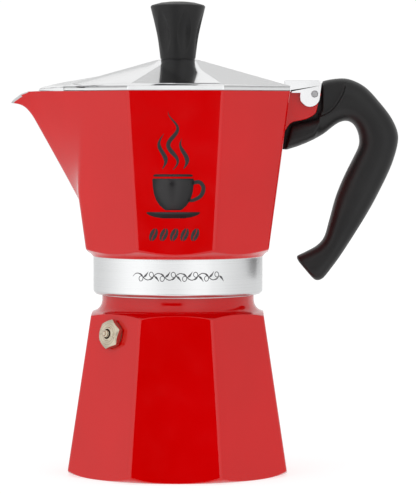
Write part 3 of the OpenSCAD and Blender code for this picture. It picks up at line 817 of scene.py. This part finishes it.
def make_emblem():
    """A steaming cup on a saucer over a row of coffee beans."""
    bowl = [(121.2, -3.4, 3.4), (121.9, -4.4, 4.4), (123.4, -6.0, 6.0), (125.6, -7.5, 7.5),
            (128.4, -8.5, 8.5),
            (131.6, -9.0, 9.0), (134.6, -9.2, 9.2), (135.3, -9.0, 9.0)]
    saucer = [(117.6, -4.6, 4.6), (118.1, -8.0, 8.0), (118.9, -10.4, 10.4), (119.6, -11.6, 11.6),
              (120.1, -11.9, 11.9),
              (120.4, -11.6, 11.6)]
    ellipse = [(136.1, -8.3, 8.3), (136.5, -8.8, 8.8), (136.9, -8.6, 8.6), (137.2, -7.6, 7.6)]
    strips = [slices([(z, a + EMBLEM_X, b + EMBLEM_X) for z, a, b in rows]) for rows in (bowl, saucer,
                                                                                         ellipse)]
    handle = spline([(8.3, 133.2), (11.6, 133.7), (13.4, 131.2), (12.2, 127.6), (8.6, 125.6), (6.6, 125.8)],
                    6)
    strips.append(ribbon([(u + EMBLEM_X, z) for u, z in handle], [(0, 1.7), (0.5, 1.9), (1, 1.2)]))
    for u, low, high, sway in ((-4.7, 139.6, 155.2, 1.5), (0, 139.2, 165, 2.1), (4.7, 139.6, 153, 1.5)):
        path = [(EMBLEM_X + u + sway * math.sin(2 * math.pi * t * (high - low) / 14.5), mix(low, high, t))
                for t in (k / 40 for k in range(41))]
        strips.append(ribbon(path, [(0, 0.3), (0.3, 2.0), (0.6, 1.7), (1, 0.1)]))
    for k in range(5):
        strips += bean(EMBLEM_X + 0.4 + 4.6 * (k - 2), 110.3, 1.75, 2.9, 0.28)
    return raised("cup_emblem", strips, on_facet, 0.06, INK)


def make_flourish():
    """A scrolling vine with leaves round the front of the collar."""
    strips = []

    def stem(t):
        return mix(-20.5, 19.5, t), 91.4 + 1.5 * math.sin(2 * math.pi * 4 * t)
    strips.append(ribbon([stem(k / 120) for k in range(121)], [(0, 0.1), (0.05, 0.4), (0.95, 0.4), (1, 0.1)]))
    for k in range(8):
        t = (k + 0.62) / 8
        u, z = stem(t)
        up = 1 if k % 2 else -1
        curl = []
        for i in range(31):
            a = i / 30 * 1.45 * 2 * math.pi
            reach = 2.0 * (1 - i / 36)
            curl.append((u + 0.4 + 1.5 * i / 30 + reach * math.sin(a) * 0.85,
                         z + up * (2.0 - reach * math.cos(a))))
        strips.append(ribbon(curl, [(0, 0.34), (0.7, 0.3), (1, 0.2)]))
        leaf_u, leaf_z = stem(t + 0.055)
        leaf = [(leaf_u + 2.5 * i / 12, leaf_z - up * (2.6 * i / 12 - 0.5 * math.sin(math.pi * i / 12)))
                for i in range(13)]
        strips.append(ribbon(leaf, [(0, 0.1), (0.45, 1.0), (1, 0.08)]))
    # The vine's lines are raised dark grey sheets: painted shade in place of cut grooves.
    return raised("collar_ornament", strips, on_collar, 0.02, ENGRAVED_SHADE)


SPRING_LOW, SPRING_HIGH, VALVE_TRAVEL = -7.85, -1.65, 1.5


def make_valve_spring():
    """Coil between the chamber's shoulder and the piston's disc."""
    coil_r, wire_r, turns, sides, steps = 2.4, 0.22, 4.5, 8, 24
    low, high = SPRING_LOW + wire_r, SPRING_HIGH - wire_r
    verts, faces = [], []
    last = round(turns * steps)
    for i in range(last + 1):
        a = 2 * math.pi * i / steps
        z = mix(low, high, i / last)
        for k in range(sides):
            b = 2 * math.pi * k / sides
            r = coil_r + wire_r * math.cos(b)
            verts.append((r * math.cos(a), r * math.sin(a), z + wire_r * math.sin(b)))
    for i in range(last):
        for k in range(sides):
            m = (k + 1) % sides
            faces.append((i * sides + k, i * sides + m, (i + 1) * sides + m, (i + 1) * sides + k))
    faces += [tuple(range(sides)), tuple(range(last * sides, (last + 1) * sides))]
    return place_valve(add_mesh("valve_coil", verts, faces, [STEEL], weighted=False))


def squash_spring(spring):
    """Gives the coil its own copy of its mesh."""
    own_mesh(spring)


spring = make_valve_spring()
pieces = [
    (spring, "boiler", "valve_spring", "steel"),
    (make_boiler(), "boiler", "boiler", "red_paint"),
    (make_valve_body(), "boiler", "valve_body", "nickel_brass"),
    (make_valve_pin(), "valve_pin", "valve_piston", "nickel_brass"),
    (make_collector(), "collector", "collector", "red_paint"),
    (make_lug(), "collector", None, "red_paint"),
    (make_emblem(), "collector", None, "black_plastic"),
    (make_flourish(), "collector", None, "aluminium"),
    (make_handle(), "collector", "handle", "black_plastic"),
    (cad_copy("lid_sheet", "lid", SHEET, 0.32), "lid", "lid", "lid_aluminium"),
    (make_knob(), "lid", "knob", "black_plastic"),
]
for piece, body, node, paint in pieces:
    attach(piece, body)
    if node:
        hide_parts(node)
squash_spring(spring)

kept = {"valve_washer": FIBRE, "valve_seat": BRASS, "funnel_cup": SPUN, "funnel_stem": SPUN,
        "funnel_sieve": STEEL, "gasket": RUBBER, "filter_plate": STEEL, "riser_column": BARE,
        "riser_cap": BARE,
        "hinge_pin": STEEL, "knob_insert": BRASS, "knob_screw": STEEL, "knob_washer": STEEL}
for name, material in kept.items():
    slots = nodes[name].material_slots
    if not slots:
        nodes[name].data.materials.append(material)
    for s in slots:
        s.material = material


# ---------------------------------------------------------------- floor, light and camera

def make_floor():
    floor = add_mesh("floor", [(-4000, -4000, -0.05), (4000, -4000, -0.05), (4000, 4000, -0.05),
                               (-4000, 4000, -0.05)],
                     [(0, 1, 2, 3)], [], weighted=False)
    f = Finish("white sweep", (0.45, 0.45, 0.45), 0.9)
    f.set(f.shader, "Specular IOR Level", 0.0)
    f.set(f.shader, "Emission Color", (1, 1, 1, 1))
    f.set(f.shader, "Emission Strength", 0.7)
    floor.data.materials.append(f.mat)
    floor.visible_glossy = False


def make_world():
    """White studio, dimmer at the sides, with two dark panels in front: one above the horizon, one below."""
    world = bpy.data.worlds.new("studio")
    bpy.context.scene.world = world
    world.use_nodes = True
    tree = world.node_tree

    def new(kind, **props):
        node = tree.nodes.new(kind)
        for key, value in props.items():
            setattr(node, key, value)
        return node

    def put(node, socket, value):
        if isinstance(value, bpy.types.NodeSocket):
            tree.links.new(value, node.inputs[socket])
        else:
            node.inputs[socket].default_value = value

    def maths(operation, a, b=0.0):
        node = new("ShaderNodeMath", operation=operation)
        put(node, 0, a)
        put(node, 1, b)
        return node.outputs[0]

    direction = new("ShaderNodeSeparateXYZ")
    put(direction, 0, new("ShaderNodeTexCoord").outputs["Generated"])
    x, y, z = direction.outputs
    azimuth = maths("ARCTAN2", x, maths("MULTIPLY", y, -1.0))
    height = maths("ARCSINE", z)

    def level(value, points):
        """Piecewise level of a value in radians, from (degrees, level) points."""
        ramp = new("ShaderNodeValToRGB")
        put(ramp, 0, maths("MULTIPLY", maths("ADD", value, math.pi), 1 / (2 * math.pi)))
        elements = ramp.color_ramp.elements
        while len(elements) > 1:
            elements.remove(elements[-1])
        for i, (degrees, grey) in enumerate(points):
            element = elements[0] if i == 0 else elements.new((degrees + 180) / 360)
            element.position = (degrees + 180) / 360
            element.color = (grey, grey, grey, 1)
        return ramp.outputs[0]

    round_about = level(azimuth, AROUND)
    window = maths("MULTIPLY", level(azimuth, WINDOW_ACROSS), level(height, WINDOW_UP))
    light = maths("MULTIPLY", round_about, maths("SUBTRACT", 1.0, window))
    light = maths("MULTIPLY", light, level(height, UPWARDS))
    seen = new("ShaderNodeMixShader")
    studio, plain = new("ShaderNodeBackground"), new("ShaderNodeBackground")
    put(studio, "Color", light)
    put(studio, "Strength", 1.0)
    put(plain, "Color", (1, 1, 1, 1))
    put(plain, "Strength", 1.02)
    put(seen, 0, new("ShaderNodeLightPath").outputs["Is Camera Ray"])
    put(seen, 1, studio.outputs[0])
    put(seen, 2, plain.outputs[0])
    output = next(n for n in tree.nodes if n.type == "OUTPUT_WORLD")
    put(output, "Surface", seen.outputs[0])


AROUND = [(-180, 0.95), (-150, 0.78), (-130, 0.74), (-105, 0.84), (-88, 1.0), (-66, 1.24), (-36, 1.26),
          (-24, 1.05),
          (8, 1.0), (16, 1.28), (34, 1.22), (60, 0.92), (85, 0.78), (110, 0.75), (150, 0.86), (180, 0.95)]
WINDOW_ACROSS = [(-26, 0), (-21, 1), (5.5, 1), (9, 0)]
WINDOW_UP = [(-27, 0), (-24, 1), (-10.5, 1), (-8.5, 0), (3.5, 0), (5.5, 1), (18, 1), (20.5, 0)]
UPWARDS = [(-60, 0.9), (0, 1.0), (33, 0.97), (48, 0.86), (90, 0.8)]


# Place in mm, downward pitch and turn in radians, focal length in mm
CAMERA_AT, CAMERA_DOWN, CAMERA_TURN, CAMERA_LENS = (28.35, -1366.87, 161.87), 0.0430, 0.0107, 217.9


def make_camera():
    data = bpy.data.cameras.new("camera")
    camera = bpy.data.objects.new("camera", data)
    bpy.context.scene.collection.objects.link(camera)
    camera.location = Vector(CAMERA_AT) * MM
    camera.rotation_euler = (math.pi / 2 - CAMERA_DOWN, 0, CAMERA_TURN)
    data.lens = CAMERA_LENS
    data.clip_start, data.clip_end = 0.05, 20
    bpy.context.scene.camera = camera


make_floor()
make_world()
make_camera()
bpy.context.scene.view_settings.view_transform = "Standard"
